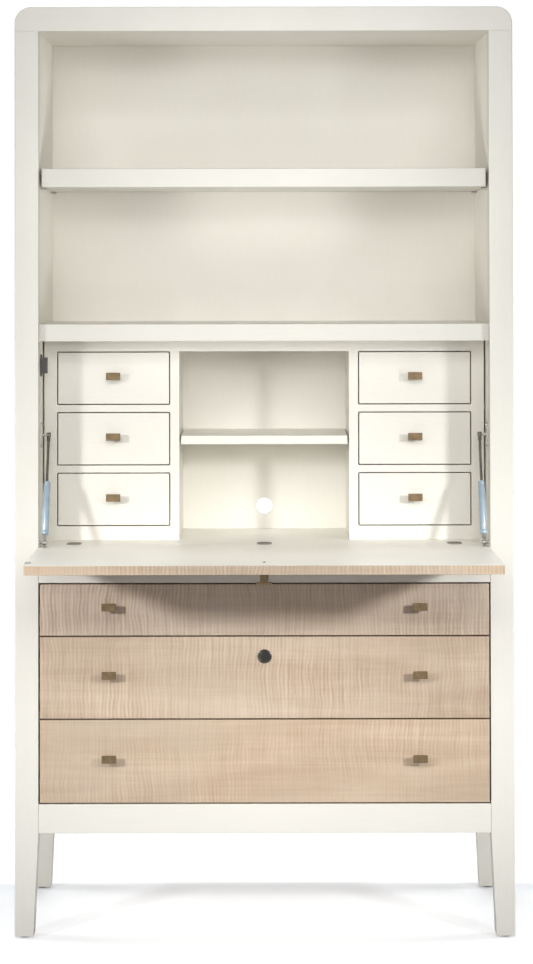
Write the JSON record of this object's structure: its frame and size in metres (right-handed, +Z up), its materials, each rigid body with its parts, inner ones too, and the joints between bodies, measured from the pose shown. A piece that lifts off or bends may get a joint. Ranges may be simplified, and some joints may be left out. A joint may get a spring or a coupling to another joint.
{
  "type": "secretary desk",
  "caption": "Tall secretary desk: open bookcase over a drop-lid writing compartment with small drawers and a cubby, on a base of wide drawers with tapered legs.",
  "frame": {"origin": "on the floor, centred under the desk's box with the lid open, which is 60 mm behind the posts' front plane", "axes": "+Z up from the floor; -Y is the front, where the lid and the drawers come out; +X is to the right as seen from the front"},
  "size_m": [1.0668, 0.896, 1.9875],
  "materials": {
    "painted_wood": "satin cream paint",
    "curly_maple": "bleached curly maple, satin lacquer",
    "drawer_wood": "clear-lacquered birch",
    "back_board": "painted hardboard",
    "aged_brass": "antique brass, brushed",
    "dark_bronze": "dark bronze, satin",
    "steel": "zinc-plated",
    "strut_paint": "silver enamel with a blue cast",
    "grey_plastic": "moulded"
  },
  "bodies": {
    "case": {"front_left_post": "painted_wood", "front_right_post": "painted_wood", "rear_left_leg": "painted_wood", "rear_right_leg": "painted_wood", "left_side_panel": "painted_wood", "right_side_panel": "painted_wood", "top_panel": "painted_wood", "foot_glides": "grey_plastic", "back_panel": "painted_wood", "base_back_panel": "back_board", "desk_surface": "painted_wood", "upper_shelf": "painted_wood", "mid_shelf": "painted_wood", "front_rail": "painted_wood", "apron": "painted_wood", "inner_frame": "drawer_wood", "drawer_runners": "steel", "organizer_frame": "painted_wood", "organizer_partitions": "painted_wood", "cubby_shelf": "painted_wood", "shelf_pins": "steel", "magnet_catch": "grey_plastic", "strut_wall_brackets": "steel", "desk_hinge_cups": "dark_bronze"},
    "lid": {"lid_panel": "curly_maple", "lid_writing_face": "painted_wood", "lid_hinge_cups": "dark_bronze", "lid_strut_brackets": "steel", "lid_strike": "steel", "lid_pull": "aged_brass"},
    "left_rod": {"left_strut_rod": "steel"},
    "left_tube": {"left_strut_tube": "strut_paint"},
    "right_rod": {"right_strut_rod": "steel"},
    "right_tube": {"right_strut_tube": "strut_paint"},
    "top_drawer": {"top_drawer_front": "curly_maple", "top_drawer_box": "drawer_wood", "top_drawer_slides": "steel", "top_drawer_pulls": "aged_brass"},
    "middle_drawer": {"middle_drawer_front": "curly_maple", "middle_drawer_box": "drawer_wood", "middle_drawer_slides": "steel", "middle_drawer_pulls": "aged_brass", "lock_body": "dark_bronze"},
    "bottom_drawer": {"bottom_drawer_front": "curly_maple", "bottom_drawer_box": "drawer_wood", "bottom_drawer_slides": "steel", "bottom_drawer_pulls": "aged_brass"},
    "left_small_1": {"left_small_drawer_1": "painted_wood", "left_small_pull_1": "aged_brass"},
    "left_small_2": {"left_small_drawer_2": "painted_wood", "left_small_pull_2": "aged_brass"},
    "left_small_3": {"left_small_drawer_3": "painted_wood", "left_small_pull_3": "aged_brass"},
    "right_small_1": {"right_small_drawer_1": "painted_wood", "right_small_pull_1": "aged_brass"},
    "right_small_2": {"right_small_drawer_2": "painted_wood", "right_small_pull_2": "aged_brass"},
    "right_small_3": {"right_small_drawer_3": "painted_wood", "right_small_pull_3": "aged_brass"},
    "lock": {"lock_plug": "dark_bronze"}
  },
  "joints": [
    {"name": "lid_hinge", "type": "hinge", "parent": "case", "child": "lid", "pos_m": [0, -0.015, 0.8354], "axis": [1, 0, 0], "range_deg": [-90, 0]},
    {"name": "left_strut_swing", "type": "hinge", "parent": "lid", "child": "left_tube", "pos_m": [-0.466, -0.095, 0.8454], "axis": [1, 0, 0], "range_deg": [0, 108.88]},
    {"name": "left_strut_slide", "type": "slide", "parent": "left_tube", "child": "left_rod", "axis": [0, 0.4446, 0.8957], "range_m": [-0.09449, 0]},
    {"name": "right_strut_swing", "type": "hinge", "parent": "lid", "child": "right_tube", "pos_m": [0.466, -0.095, 0.8454], "axis": [1, 0, 0], "range_deg": [0, 108.88]},
    {"name": "right_strut_slide", "type": "slide", "parent": "right_tube", "child": "right_rod", "axis": [0, 0.4446, 0.8957], "range_m": [-0.09449, 0]},
    {"name": "top_drawer_slide", "type": "slide", "parent": "case", "child": "top_drawer", "axis": [0, -1, 0], "range_m": [0, 0.34]},
    {"name": "middle_drawer_slide", "type": "slide", "parent": "case", "child": "middle_drawer", "axis": [0, -1, 0], "range_m": [0, 0.34]},
    {"name": "bottom_drawer_slide", "type": "slide", "parent": "case", "child": "bottom_drawer", "axis": [0, -1, 0], "range_m": [0, 0.34]},
    {"name": "left_small_drawer_1_slide", "type": "slide", "parent": "case", "child": "left_small_1", "axis": [0, -1, 0], "range_m": [0, 0.17]},
    {"name": "left_small_drawer_2_slide", "type": "slide", "parent": "case", "child": "left_small_2", "axis": [0, -1, 0], "range_m": [0, 0.17]},
    {"name": "left_small_drawer_3_slide", "type": "slide", "parent": "case", "child": "left_small_3", "axis": [0, -1, 0], "range_m": [0, 0.17]},
    {"name": "right_small_drawer_1_slide", "type": "slide", "parent": "case", "child": "right_small_1", "axis": [0, -1, 0], "range_m": [0, 0.17]},
    {"name": "right_small_drawer_2_slide", "type": "slide", "parent": "case", "child": "right_small_2", "axis": [0, -1, 0], "range_m": [0, 0.17]},
    {"name": "right_small_drawer_3_slide", "type": "slide", "parent": "case", "child": "right_small_3", "axis": [0, -1, 0], "range_m": [0, 0.17]},
    {"name": "lock_turn", "type": "hinge", "parent": "middle_drawer", "child": "lock", "pos_m": [0, -0.06, 0.599], "axis": [0, -1, 0], "range_deg": [0, 90]}
  ],
  "couplings": [
    {"joint": "left_strut_swing", "follows": "lid_hinge", "ratio": -1.2098},
    {"joint": "left_strut_slide", "follows": "lid_hinge", "m_per_rad": 0.060152},
    {"joint": "right_strut_swing", "follows": "lid_hinge", "ratio": -1.2098},
    {"joint": "right_strut_slide", "follows": "lid_hinge", "m_per_rad": 0.060152}
  ]
}
